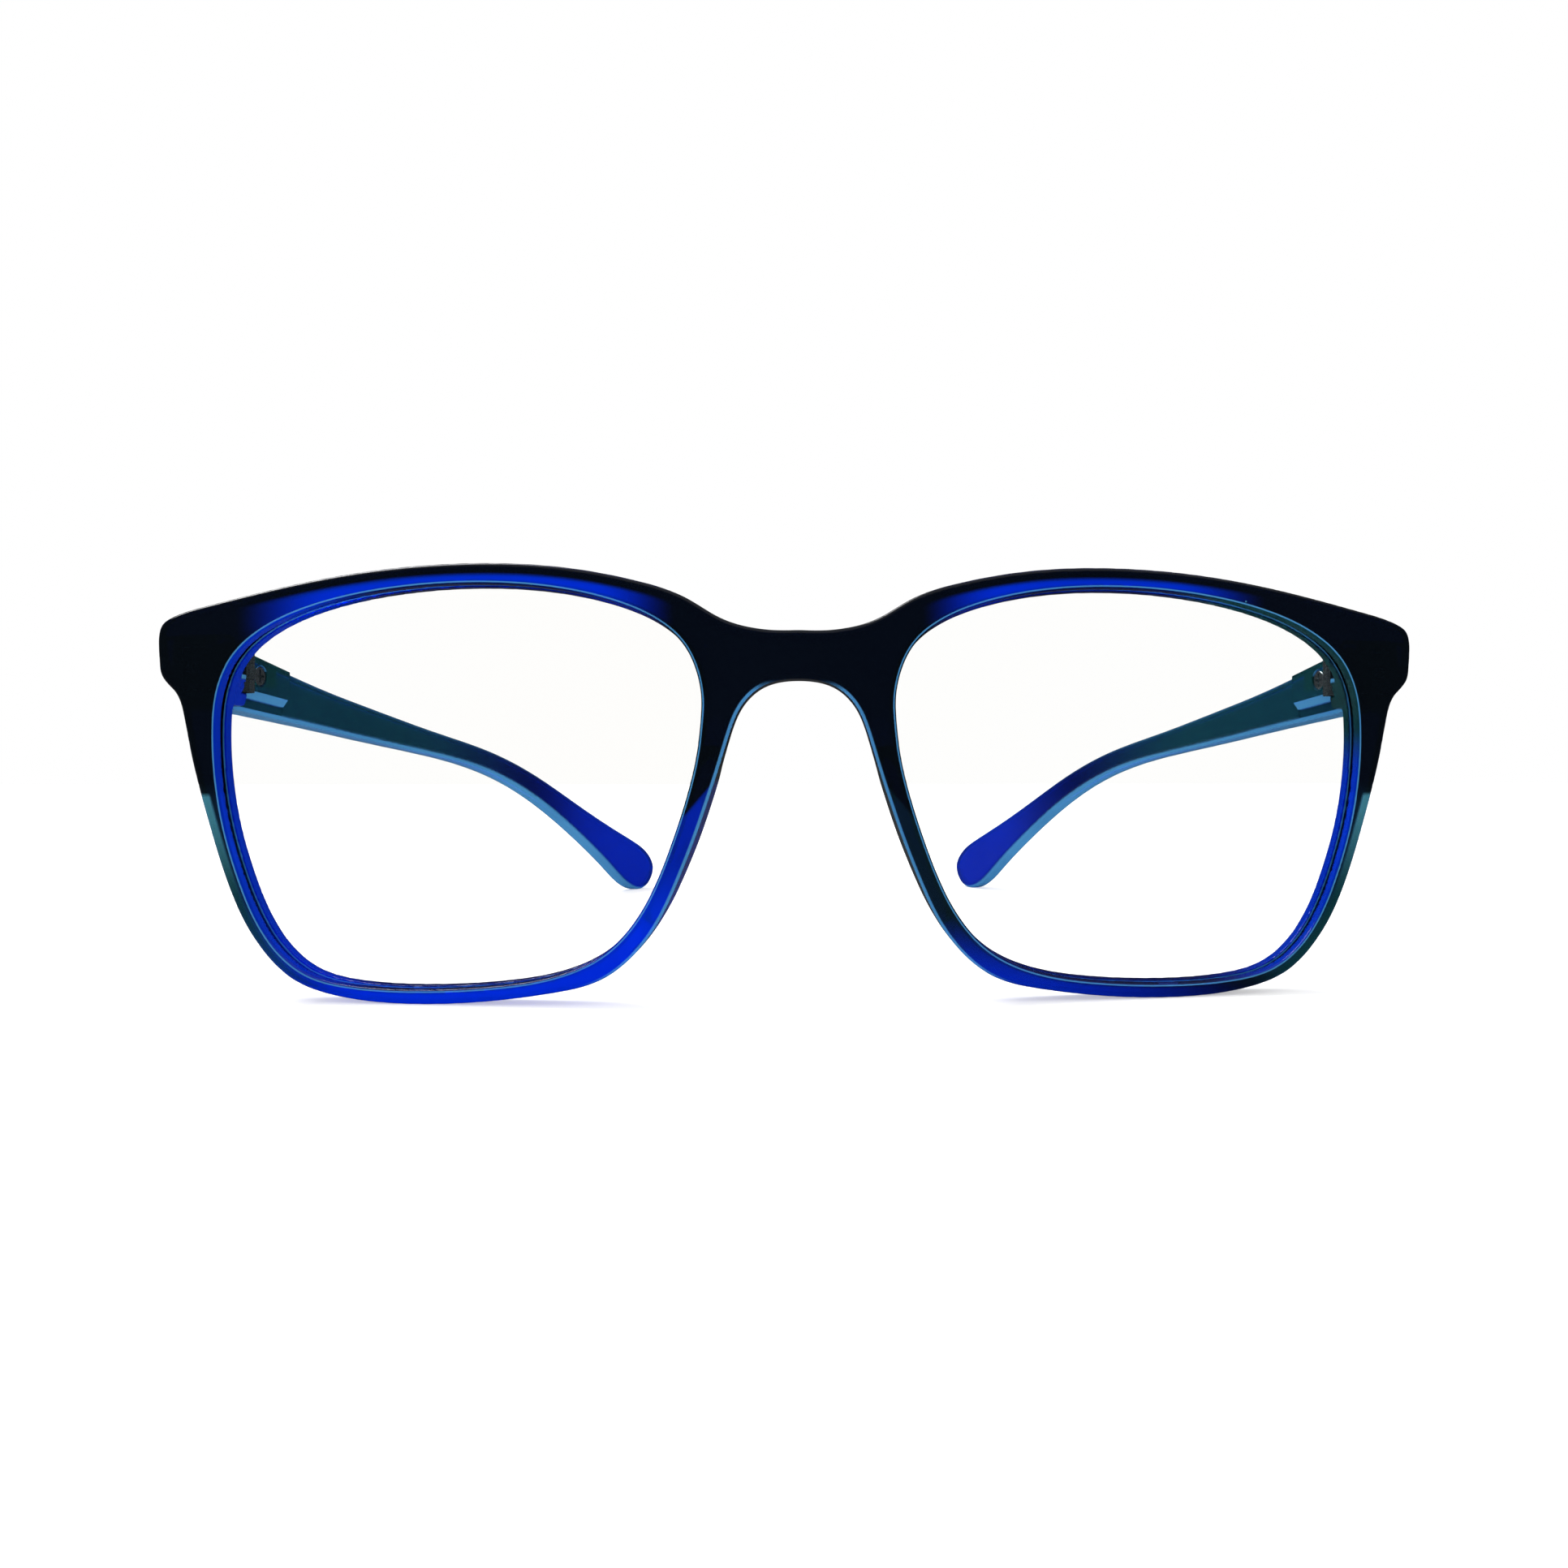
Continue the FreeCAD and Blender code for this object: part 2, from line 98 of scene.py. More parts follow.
# ---- colours --------------------------------------------------------------------------------
DARK = (0.003, 0.006, 0.010)
NAVY = (0.002, 0.010, 0.10)
# painted glow: light through thin plastic, on the band, the lower rims and the walls
PAINTED_GLOW_BLUE = (0.0, 0.05, 0.85)
# painted glow, deeper
DEEP_BLUE_GLOW = (0.002, 0.03, 0.45)
# painted reflection: teal sheen
TEAL_SHEEN = (0.008, 0.07, 0.08)
# painted reflection: dark teal sheen
DARK_TEAL_SHEEN = (0.006, 0.022, 0.032)
# painted highlight
PALE_HIGHLIGHT = (0.12, 0.48, 0.95)
# painted highlight, and the colour of the dust specks
PALE_TEAL_HIGHLIGHT_AND_DUST = (0.10, 0.40, 0.52)
CLOUDS = ((0.82, 0.86, 0.9), (1.0, 1.0, 1.0))
LENS_TINTS = ((1.0, 0.995, 0.975), (1.0, 1.0, 0.99))
# painted reflection of the blue rim on the lens edge
LENS_EDGE_REFLECTION = (0.02, 0.16, 0.9)
NICKEL = (0.58, 0.72, 0.76)
STEEL = (0.66, 0.76, 0.80)
# Light left after 1 mm of plastic: 22 % of the red, 55 % of the green and 94 % of the blue.
ABSORPTION_DENSITY = 1500.0
ABSORPTION_COLOUR = (0.0, 0.60, 0.96, 1)

# ---- where the tints and the painted light change, in millimetres: none at the first value, all at the second ------
WEARERS_LEFT_X = (-1, 1)
WEARERS_RIGHT_X = (1, -1)
BAND_INSET = (1.0, 1.5)        # painted blue glow band over each opening
BAND_Z = (38, 41)
BAND_INNER_X = (13, 22)
BAND_OUTER_X = (61, 49)
BAND_SHORTER = 9               # on the wearer's left
LOW_SIDE_Z = (24, 21)          # painted dark teal reflection low on the outer sides
LOW_SIDE_X = (46, 56)
STRIP_Z = (22.6, 22.0)         # painted pale highlight along their edge
STRIP_X = (50, 56)
STRIP_INSET = (1.3, 0.9)
STRIP_DEPTH = (2.4, 1.6)
STRIP_PALE_Z = (10, 23)
FACET_Z = (24.2, 23.4)         # painted light on a facet low on each nasal rim
FACET_SLANT = 2.0
FACET_X = (32, 24)
LOWER_Z = (14, 4)              # painted blue glow on the lower rims
LOWER_SLANT = 0.25
LOWER_X = (62, 46)
NOSE_LINE_INSET = (0.35, 0.2)  # painted pale highlight round the nose
NOSE_LINE_X = (24, 18)
NOSE_LINE_Z = (34.6, 33)
NOSE_LINE_DEPTH = (0.75, 0.55)
WALL_INSET = (0.25, 0.1)       # painted light on the wall of each opening
WALL_X = (12, 26)
WALL_BLUE_X = (44, 54)
WALL_TEAL_X = (40, 48)
WALL_TEAL_Z = (24, 30)
LIP_OUTSIDE = (0.34, 0.28)     # painted pale highlight round each opening
LIP_INSIDE = (0.12, 0.2)
# painted light along the temples
TEMPLE_NAVY_Y = (-20, 30)
TEMPLE_BLUE_Y = (25, 60)

# ---- stage and camera -------------------------------------------------------------------------
FLOOR_REACH = 2
FLOOR_SHADES = ((0.78, 0.78, 0.78), (0.80, 0.80, 0.80))
FLOOR_GLOW = 0.45
MIRRORED_ROOM = (0.02, 0.022, 0.025)
MIRRORED_CEILING = (0.45, 0.45, 0.45)
WHITE_ROOM = (1.0, 1.0, 1.0)
KEY_PLACE = (-0.5, 0.3, 0.8)
KEY_TARGET = (0, 0, 0.02)
KEY_SIZE = (0.6, 0.6)
KEY_POWER = 6
CAMERA_X = 1.4 * MM
CAMERA_DISTANCE = 139.58 * MM  # from the front of the bridge
CAMERA_HEIGHT = 25.1 * MM
CAMERA_TURN = math.radians(-3.04)
CAMERA_LENS = 30.43
CAMERA_SHIFT = (-0.0629, -0.0094)

front_low, front_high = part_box("front_frame")
HINGE = Vector(frame["joints"][0]["pos_m"])
BACK_Y = HINGE.y
FRONT_Y = BACK_Y - END_PIECE_DEPTH
SPHERE_CENTRE = np.array((0, FRONT_Y + FRONT_RADIUS, CURVE_HEIGHT))


# ---- outlines, read from the CAD front --------------------------------------------------------
def front_surface_loops():
    """The closed edge loops of the CAD front's outer surface, each as an (n, 2) array of x, z."""
    mesh = frame["nodes"]["front_frame"].data
    points = np.array([v.co for v in mesh.vertices])
    on_surface = np.abs(np.linalg.norm(points - SPHERE_CENTRE, axis=1) - FRONT_RADIUS) < ON_SURFACE
    micron = MM * 1e-3
    keys = [tuple(np.round(p / micron).astype(int)) for p in points]
    edges = {}
    for polygon in mesh.polygons:
        corners = list(polygon.vertices)
        if not all(on_surface[i] for i in corners):
            continue
        for a, b in zip(corners, corners[1:] + corners[:1]):
            edges[keys[a], keys[b]] = (a, b)
    following = {a: b for a, b in edges if (b, a) not in edges}
    place = {}
    for (a, b), (i, j) in edges.items():
        place[a] = points[i]
        place[b] = points[j]
    loops = []
    while following:
        start, here = following.popitem()
        loop = [place[start], place[here]]
        while here in following:
            here = following.pop(here)
            loop.append(place[here])
        loops.append(np.array(loop[:-1])[:, (0, 2)])
    return sorted(loops, key=len, reverse=True)


class Outline:
    """A smooth closed curve and a table of signed distances to it, negative inside."""

    def __init__(self, points):
        self.samples = resample(points, OUTLINE_SPACING)
        after = np.roll(self.samples, -1, axis=0)
        before = np.roll(self.samples, 1, axis=0)
        tangent = after - before
        tangent /= np.linalg.norm(tangent, axis=1)[:, None]
        area = np.sum(self.samples[:, 0] * after[:, 1] - after[:, 0] * self.samples[:, 1])
        self.normals = np.column_stack((tangent[:, 1], -tangent[:, 0])) * np.sign(area)
        count = ((TABLE_HIGH - TABLE_LOW) / TABLE_STEP).astype(int)
        x = TABLE_LOW[0] + np.arange(count[0]) * TABLE_STEP
        z = TABLE_LOW[1] + np.arange(count[1]) * TABLE_STEP
        flat = np.stack(np.meshgrid(x, z, indexing="ij"), axis=-1).reshape(-1, 2)
        self.table = self.exact_distance(flat).reshape(len(x), len(z))

    def exact_distance(self, flat):
        result = np.empty(len(flat))
        squares = np.sum(self.samples**2, axis=1)
        for start in range(0, len(flat), TABLE_CHUNK):
            part = flat[start:start + TABLE_CHUNK]
            nearest = np.argmin(squares - 2 * part @ self.samples.T, axis=1)
            result[start:start + TABLE_CHUNK] = self.from_sample(part, nearest)
        return result

    def from_sample(self, part, nearest):
        """Distance to the smooth curve near each point's closest sample."""
        count = len(self.samples)
        offset = part - self.samples[nearest]
        ahead = self.samples[(nearest + 1) % count] - self.samples[nearest]
        behind = self.samples[(nearest - 1) % count] - self.samples[nearest]
        forward = np.sum(offset * ahead, axis=1) > np.sum(offset * behind, axis=1)
        step = np.where(forward[:, None], ahead, behind)
        other = np.where(forward, nearest + 1, nearest - 1) % count
        share = np.clip(np.sum(offset * step, axis=1) / np.sum(step**2, axis=1), 0, 1)
        share = share[:, None]
        foot = self.samples[nearest] + step * share
        normal = self.normals[nearest] * (1 - share) + self.normals[other] * share
        away = part - foot
        side = np.sign(np.sum(away * normal, axis=1))
        return side * np.linalg.norm(away, axis=1)

    def distance(self, x, z):
        """The table's distance at x, z, smoothly interpolated."""
        u = np.clip((x - TABLE_LOW[0]) / TABLE_STEP, 1, self.table.shape[0] - 3)
        v = np.clip((z - TABLE_LOW[1]) / TABLE_STEP, 1, self.table.shape[1] - 3)
        i = u.astype(int)
        j = v.astype(int)
        across = cubic_weights(u - i)
        up = cubic_weights(v - j)
        total = 0
        for a in range(4):
            column = 0
            for b in range(4):
                column = column + up[b] * self.table[i + a - 1, j + b - 1]
            total = total + across[a] * column
        return total


def cubic_weights(t):
    """Weights of four neighbours for a smooth curve through them, t of the way past the second."""
    return ((-t + 2 * t**2 - t**3) / 2, (2 - 5 * t**2 + 3 * t**3) / 2,
            (t + 4 * t**2 - 3 * t**3) / 2, (t**3 - t**2) / 2)


def resample(points, spacing):
    """Evenly spaced points on the closed centripetal spline through the given points."""
    count = len(points)
    fine = []
    for i in range(count):
        p0, p1, p2, p3 = (points[(i + k) % count] for k in (-1, 0, 1, 2))
        gap = np.linalg.norm(p2 - p1)
        steps = max(2, int(gap / (spacing / 4)))
        t = np.linspace(0, 1, steps, endpoint=False)[:, None]
        t01 = np.linalg.norm(p1 - p0)**0.5
        t12 = gap**0.5
        t23 = np.linalg.norm(p3 - p2)**0.5
        m1 = (p2 - p1) + t12 * ((p1 - p0) / t01 - (p2 - p0) / (t01 + t12))
        m2 = (p2 - p1) + t12 * ((p3 - p2) / t23 - (p3 - p1) / (t12 + t23))
        fine.append((2 * t**3 - 3 * t**2 + 1) * p1 + (t**3 - 2 * t**2 + t) * m1
                    + (3 * t**2 - 2 * t**3) * p2 + (t**3 - t**2) * m2)
    fine = np.concatenate(fine)
    lengths = np.linalg.norm(np.roll(fine, -1, axis=0) - fine, axis=1)
    along = np.concatenate(([0], np.cumsum(lengths)))
    closed = np.vstack((fine, fine[:1]))
    targets = np.linspace(0, along[-1], int(along[-1] / spacing), endpoint=False)
    return np.column_stack([np.interp(targets, along, closed[:, k]) for k in (0, 1)])


# ---- distance fields: negative inside the solid -----------------------------------------------
def both(a, b, radius):
    """Where both solids are, with the shared edge rounded."""
    u = np.maximum(a + radius, 0)
    v = np.maximum(b + radius, 0)
    return np.minimum(-radius, np.maximum(a, b)) + np.sqrt(u * u + v * v)


def either(a, b, radius):
    """Where either solid is, with a round fillet between them."""
    return -both(-a, -b, radius)


def slab(value, low, high):
    return np.maximum(low - value, value - high)


loops = front_surface_loops()
outer_outline = Outline(loops[0])
opening_outline = Outline(next(loop for loop in loops[1:] if loop[:, 0].mean() > 0))


def front_field(x, y, z):
    """Distance to the front's surface for x from 0 up: the other half is its mirror image."""
    centre = SPHERE_CENTRE
    depth = FRONT_RADIUS - np.sqrt(x**2 + (y - centre[1])**2 + (z - centre[2])**2)
    solid = either(slab(depth, 0, RIM_DEPTH), end_piece_field(x, y, z, depth), END_PIECE_FILLET)
    solid = either(solid, nose_pad_field(x, y, z, depth), PAD_FILLET)
    outer = np.maximum(outer_outline.distance(x, z), x - front_high.x)
    solid = both(solid, outer, OUTER_ROUND)
    opening = opening_outline.distance(x, z)
    solid = both(solid, -opening, OPENING_ROUND)
    solid = both(solid, -groove_field(depth, opening), GROOVE_ROUND)
    return both(solid, -hinge_seat_field(x, y, z), SEAT_ROUND)


def end_piece_field(x, y, z, depth):
    solid = both(y - BACK_Y, slab(z, *END_PIECE_Z), BACK_ROUND)
    solid = both(solid, END_PIECE_INNER_X - x, INNER_SIDE_ROUND)
    return both(solid, RIM_DEPTH / 2 - depth, BURIED_ROUND)


def nose_pad_field(x, y, z, depth):
    """The rear part of a ball stretched along the nose."""
    dx = x - PAD_MIDDLE[0]
    dy = y - FRONT_Y - PAD_MIDDLE[1]
    dz = z - PAD_MIDDLE[2]
    across = dx * math.cos(PAD_TILT) + dz * math.sin(PAD_TILT)
    along = dz * math.cos(PAD_TILT) - dx * math.sin(PAD_TILT)
    scaled = np.sqrt((across / PAD_HALF_SIZE[0])**2 + (dy / PAD_HALF_SIZE[1])**2
                     + (along / PAD_HALF_SIZE[2])**2)
    ball = (scaled - 1) * PAD_HALF_SIZE[0]
    return both(ball, RIM_DEPTH / 2 - depth, BURIED_ROUND)


def groove_field(depth, opening):
    """The groove that holds the lens."""
    middle = LENS_SETBACK + LENS_THICKNESS / 2
    return np.maximum(np.abs(depth - middle) - GROOVE_WIDTH / 2, opening - GROOVE_DEPTH)


def hinge_seat_field(x, y, z):
    """The pocket for the knuckles and the seat of the front leaf."""
    from_pivot = np.hypot(x - HINGE.x, y - HINGE.y)
    pocket = np.maximum(from_pivot - POCKET_RADIUS, slab(z, *POCKET_Z))
    seat = np.maximum(slab(x, HINGE.x, SEAT_OUTER_X), slab(z, *SEAT_Z))
    seat = np.maximum(seat, BACK_Y - SEAT_DEPTH - y)
    return np.minimum(pocket, seat)


# ---- from a distance field to a mesh ------------------------------------------------------------
CELL_EDGES = [(a, a + (1 << axis)) for axis in range(3) for a in range(8) if not a & (1 << axis)]


def corner_offset(corner):
    return np.array([corner >> axis & 1 for axis in range(3)])


def close_diagonals(values, depth):
    """Fills grid nodes where the solid would touch itself only along a line."""
    changed = True
    while changed:
        changed = False
        for u, v in ((0, 1), (1, 2), (2, 0)):
            inside = values < 0
            across = np.roll(inside, -1, u)
            up = np.roll(inside, -1, v)
            crossed = (inside == np.roll(across, -1, v)) & (across == up) & (inside != across)
            values[crossed & ~inside] = -depth
            values[np.roll(crossed & inside, 1, u)] = -depth
            changed = changed or crossed.any()


def surface_net(field, low, high, step):
    """One vertex in each grid cell that the field's zero surface crosses, and quads between them."""
    axes = [np.arange(a, b + step, step) for a, b in zip(low, high)]
    values = field(axes[0][:, None, None], axes[1][None, :, None], axes[2][None, None, :])
    close_diagonals(values, step / 10)
    size = [n - 1 for n in values.shape]
    corners = []
    for corner in range(8):
        o = corner_offset(corner)
        corners.append(values[o[0]:o[0] + size[0], o[1]:o[1] + size[1], o[2]:o[2] + size[2]])
    inside = sum((c < 0).astype(np.int8) for c in corners)
    cells = np.argwhere((inside > 0) & (inside < 8))
    index = np.full(size, -1, np.int64)
    index[tuple(cells.T)] = np.arange(len(cells))
    offsets = crossing_middles([c[tuple(cells.T)] for c in corners])
    points = np.array(low) + (cells + offsets) * step
    quads = [quads_across(values, index, axis) for axis in range(3)]
    return settle(field, points), np.concatenate(quads)


def crossing_middles(at_corners):
    """The mean of the places where each cell's edges cross the surface, from 0 to 1 in the cell."""
    total = np.zeros((len(at_corners[0]), 3))
    crossings = np.zeros(len(at_corners[0]))
    for a, b in CELL_EDGES:
        va = at_corners[a]
        vb = at_corners[b]
        crosses = (va < 0) != (vb < 0)
        share = np.where(crosses, va / np.where(crosses, va - vb, 1), 0)
        spot = corner_offset(a) + share[:, None] * (corner_offset(b) - corner_offset(a))
        total += spot * crosses[:, None]
        crossings += crosses
    return total / crossings[:, None]


def quads_across(values, index, axis):
    """A quad round every grid edge along the axis that the surface crosses, facing outwards."""
    u = (axis + 1) % 3
    v = (axis + 2) % 3
    first = np.take(values, range(values.shape[axis] - 1), axis)
    second = np.take(values, range(1, values.shape[axis]), axis)
    quads = []
    for rising in (True, False):
        change = (first >= 0) & (second < 0) if rising else (first < 0) & (second >= 0)
        nodes = np.argwhere(change)
        keep = (nodes[:, u] > 0) & (nodes[:, v] > 0)
        keep &= (nodes[:, u] < index.shape[u]) & (nodes[:, v] < index.shape[v])
        nodes = nodes[keep]
        ring = []
        for du, dv in ((1, 1), (0, 1), (0, 0), (1, 0)):
            cell = nodes.copy()
            cell[:, u] -= du
            cell[:, v] -= dv
            ring.append(index[tuple(cell.T)])
        quads.append(np.column_stack(ring if not rising else ring[::-1]))
    return np.concatenate(quads)


def settle(field, points):
    """Moves points onto the zero surface along the field's gradient."""
    for _ in range(SETTLE_ROUNDS):
        gradient = field_gradient(field, points)
        value = field(*points.T)
        squares = np.maximum(np.sum(gradient**2, axis=1), LEAST_SLOPE_SQUARED)
        points = points - np.clip(value / squares, -VOXEL / 2, VOXEL / 2)[:, None] * gradient
    return points


def field_gradient(field, points):
    slopes = []
    for axis in range(3):
        shift = np.zeros(3)
        shift[axis] = GRADIENT_REACH
        rise = field(*(points + shift).T) - field(*(points - shift).T)
        slopes.append(rise / (2 * GRADIENT_REACH))
    return np.column_stack(slopes)


def new_mesh_object(name, points, faces):
    mesh = bpy.data.meshes.new(name)
    mesh.from_pydata([tuple(p) for p in points], [], [tuple(map(int, f)) for f in faces])
    mesh.validate()
    mesh.polygons.foreach_set("use_smooth", np.ones(len(mesh.polygons), bool))
    piece = bpy.data.objects.new(name, mesh)
    bpy.context.scene.collection.objects.link(piece)
    return piece


def add_measure(piece, name, values):
    """A number for each vertex, for the material to read."""
    attribute = piece.data.attributes.new(name, "FLOAT", "POINT")
    attribute.data.foreach_set("value", np.asarray(values, np.float32))


def blended_front_field(x, y, z):
    """The front's field, level across the middle, so that the two halves meet smoothly."""
    return front_field(np.hypot(x, MIDDLE_BLEND), y, z)


def front_piece():
    """One half of the front, meshed and mirrored, with its measures and exact normals."""
    low = (-VOXEL / 2, FRONT_Y - 2 * VOXEL, front_low.z - 2 * VOXEL)
    high = (front_high.x + 2 * VOXEL, BACK_Y + 2 * VOXEL, front_high.z + 2 * VOXEL)
    points, faces = surface_net(blended_front_field, low, high, VOXEL)
    seam = points[:, 0] < VOXEL / 2
    points[seam, 0] = 0
    other = np.arange(len(points)) + len(points)
    other[seam] = np.arange(len(points))[seam]
    flipped = other[faces][:, ::-1]
    every = np.vstack((points, points * (-1, 1, 1)))
    piece = new_mesh_object("front_moulding", every, np.vstack((faces, flipped)))
    x = np.abs(every[:, 0])
    z = every[:, 2]
    add_measure(piece, "from_opening", opening_outline.distance(x, z) / MM)
    add_measure(piece, "from_outer_edge", -outer_outline.distance(x, z) / MM)
    depth = FRONT_RADIUS - np.linalg.norm(every - SPHERE_CENTRE, axis=1)
    add_measure(piece, "depth", depth / MM)
    normals = field_gradient(blended_front_field, points)
    normals /= np.linalg.norm(normals, axis=1)[:, None]
    mirrored = normals * (-1, 1, 1)
    piece.data.normals_split_custom_set_from_vertices(np.vstack((normals, mirrored)))
    return piece


# ---- shader nodes ---------------------------------------------------------------------------------
def new_material(name):
    material = bpy.data.materials.new(name)
    material.use_nodes = True
    tree = material.node_tree
    return material, tree, tree.nodes["Principled BSDF"]


def ramp(tree, source, stops):
    node = tree.nodes.new("ShaderNodeValToRGB")
    node.color_ramp.interpolation = "EASE"
    for element, (position, colour) in zip(node.color_ramp.elements, stops):
        element.position = position
        element.color = (*colour, 1)
    tree.links.new(source, node.inputs["Fac"])
    return node.outputs["Color"]


def grey_ramp(tree, source, stops):
    return ramp(tree, source, [(position, (level,) * 3) for position, level in stops])


def noise(tree, scale, detail=3):
    place = tree.nodes.new("ShaderNodeTexCoord")
    node = tree.nodes.new("ShaderNodeTexNoise")
    node.inputs["Scale"].default_value = scale
    node.inputs["Detail"].default_value = detail
    tree.links.new(place.outputs["Object"], node.inputs["Vector"])
    return node.outputs["Fac"]


def bump(tree, height, strength, distance, shader):
    node = tree.nodes.new("ShaderNodeBump")
    node.inputs["Strength"].default_value = strength
    node.inputs["Distance"].default_value = distance
    tree.links.new(height, node.inputs["Height"])
    tree.links.new(node.outputs["Normal"], shader.inputs["Normal"])


def measure(tree, name):
    node = tree.nodes.new("ShaderNodeAttribute")
    node.attribute_name = name
    return node.outputs["Fac"]


def maths(tree, operation, first, second=0.0):
    node = tree.nodes.new("ShaderNodeMath")
    node.operation = operation
    for socket, value in zip(node.inputs, (first, second)):
        if isinstance(value, (int, float)):
            socket.default_value = value
        else:
            tree.links.new(value, socket)
    return node.outputs["Value"]


def fade(tree, value, start, end):
    """Rises smoothly from 0 at start to 1 at end, also where start is above end."""
    node = tree.nodes.new("ShaderNodeMapRange")
    node.interpolation_type = "SMOOTHSTEP"
    low, high = sorted((start, end))
    node.inputs["From Min"].default_value = low
    node.inputs["From Max"].default_value = high
    node.inputs["To Min"].default_value = float(start > end)
    node.inputs["To Max"].default_value = float(start < end)
    tree.links.new(value, node.inputs["Value"])
    return node.outputs["Result"]


def product(tree, *values):
    total = values[0]
    for value in values[1:]:
        total = maths(tree, "MULTIPLY", total, value)
    return total


def mix_colours(tree, mode, factor, first, second):
    """Colours and the factor are given as numbers or as sockets."""
    node = tree.nodes.new("ShaderNodeMix")
    node.data_type = "RGBA"
    node.blend_type = mode
    sockets = {s.identifier: s for s in node.inputs}
    for name, value in (("Factor_Float", factor), ("A_Color", first), ("B_Color", second)):
        if isinstance(value, tuple):
            sockets[name].default_value = (*value, 1)
        elif isinstance(value, float):
            sockets[name].default_value = value
        else:
            tree.links.new(value, sockets[name])
    return next(s for s in node.outputs if s.identifier == "Result_Color")


def blend(tree, factor, first, second):
    return mix_colours(tree, "MIX", factor, first, second)


def object_axes(tree):
    """Object coordinates in millimetres, as x, y and z sockets."""
    place = tree.nodes.new("ShaderNodeTexCoord")
    scale = tree.nodes.new("ShaderNodeVectorMath")
    scale.operation = "SCALE"
    scale.inputs["Scale"].default_value = 1 / MM
    tree.links.new(place.outputs["Object"], scale.inputs["Vector"])
    return split_vector(tree, scale.outputs["Vector"])


def split_vector(tree, vector):
    split = tree.nodes.new("ShaderNodeSeparateXYZ")
    tree.links.new(vector, split.inputs["Vector"])
    return split.outputs


def object_normal(tree):
    place = tree.nodes.new("ShaderNodeTexCoord")
    return split_vector(tree, place.outputs["Normal"])


# ---- the blue plastic -------------------------------------------------------------------------------
def blue_plastic(name, tint):
    """Polished translucent plastic: it lets light blue through thin edges, deep blue through thick
    walls, and the tint darkens it from place to place and lays painted glow, reflections and
    highlights on it."""
    material, tree, shader = new_material(name)
    tree.links.new(tint(tree), shader.inputs["Base Color"])
    shader.inputs["Transmission Weight"].default_value = 0.6
    shader.inputs["IOR"].default_value = 1.5
    shader.inputs["Specular IOR Level"].default_value = 0.15
    polish = grey_ramp(tree, noise(tree, scale=900, detail=5), [(0.35, 0.02), (0.75, 0.06)])
    tree.links.new(polish, shader.inputs["Roughness"])
    bump(tree, noise(tree, scale=350), 0.04, 0.02 * MM, shader)
    absorb = tree.nodes.new("ShaderNodeVolumeAbsorption")
    absorb.inputs["Color"].default_value = ABSORPTION_COLOUR
    absorb.inputs["Density"].default_value = ABSORPTION_DENSITY
    tree.links.new(absorb.outputs["Volume"], tree.nodes["Material Output"].inputs["Volume"])
    return material


def front_tint_and_painted_light(tree):
    """Almost black on the bridge, the corners and the upper rims, and blue below: the blue, teal and
    pale marks are painted light.
    """
    x, _, z = object_axes(tree)
    side = maths(tree, "ABSOLUTE", x)
    inset = measure(tree, "from_outer_edge")
    opening = measure(tree, "from_opening")
    depth = measure(tree, "depth")
    # Painted reflection: dark teal low on the outer sides.
    low_side_sheen = product(tree, fade(tree, z, *LOW_SIDE_Z), fade(tree, side, *LOW_SIDE_X))
    # Painted light on the nasal facets: deep blue on the wearer's right, dark teal on the left.
    nasal_sheen = blend(tree, fade(tree, x, *WEARERS_RIGHT_X), DARK_TEAL_SHEEN, DEEP_BLUE_GLOW)
    # Painted highlight on the outer strip: teal, paler higher up.
    strip_highlight_shade = blend(tree, fade(tree, z, *STRIP_PALE_Z), TEAL_SHEEN, PALE_TEAL_HIGHLIGHT_AND_DUST)
    # Every layer but the dust specks is painted light: glow through the plastic, reflections or
    # highlights.
    layers = (
        (painted_glow_band(tree, inset, x, side, z), PAINTED_GLOW_BLUE),
        (low_side_sheen, DARK_TEAL_SHEEN),
        (painted_outer_highlight(tree, inset, side, z, depth), strip_highlight_shade),
        (painted_nasal_facet(tree, inset, side, z), nasal_sheen),
        (painted_lower_glow(tree, x, side, z), PAINTED_GLOW_BLUE),
        (painted_nose_highlight(tree, inset, side, z, depth), PALE_HIGHLIGHT),
        (painted_wall(tree, opening, side), painted_wall_light(tree, x, side, z)),
        (painted_lip_highlight(tree, opening), PALE_HIGHLIGHT),
        (specks(tree), PALE_TEAL_HIGHLIGHT_AND_DUST))
    shade = DARK
    for share, colour in layers:
        shade = blend(tree, share, shade, colour)
    return clouded(tree, shade)


def painted_glow_band(tree, inset, x, side, z):
    """Painted light: a blue glow band along the top of each opening. It runs further out on the
    wearer's right.
    """
    shorter = maths(tree, "MULTIPLY", fade(tree, x, *WEARERS_LEFT_X), BAND_SHORTER)
    outward = maths(tree, "ADD", side, shorter)
    return product(tree, fade(tree, inset, *BAND_INSET), fade(tree, z, *BAND_Z),
                   fade(tree, side, *BAND_INNER_X), fade(tree, outward, *BAND_OUTER_X))


def painted_outer_highlight(tree, inset, side, z, depth):
    """A painted highlight: the pale strip low on the outer edge."""
    return product(tree, fade(tree, z, *STRIP_Z), fade(tree, side, *STRIP_X),
                   fade(tree, inset, *STRIP_INSET), fade(tree, depth, *STRIP_DEPTH))


def painted_nasal_facet(tree, inset, side, z):
    """Painted light low on each nasal rim, below a slanting line, where the rim has a polished facet.
    """
    height = maths(tree, "ADD", z, maths(tree, "MULTIPLY", inset, FACET_SLANT))
    return product(tree, fade(tree, height, *FACET_Z), fade(tree, side, *FACET_X))


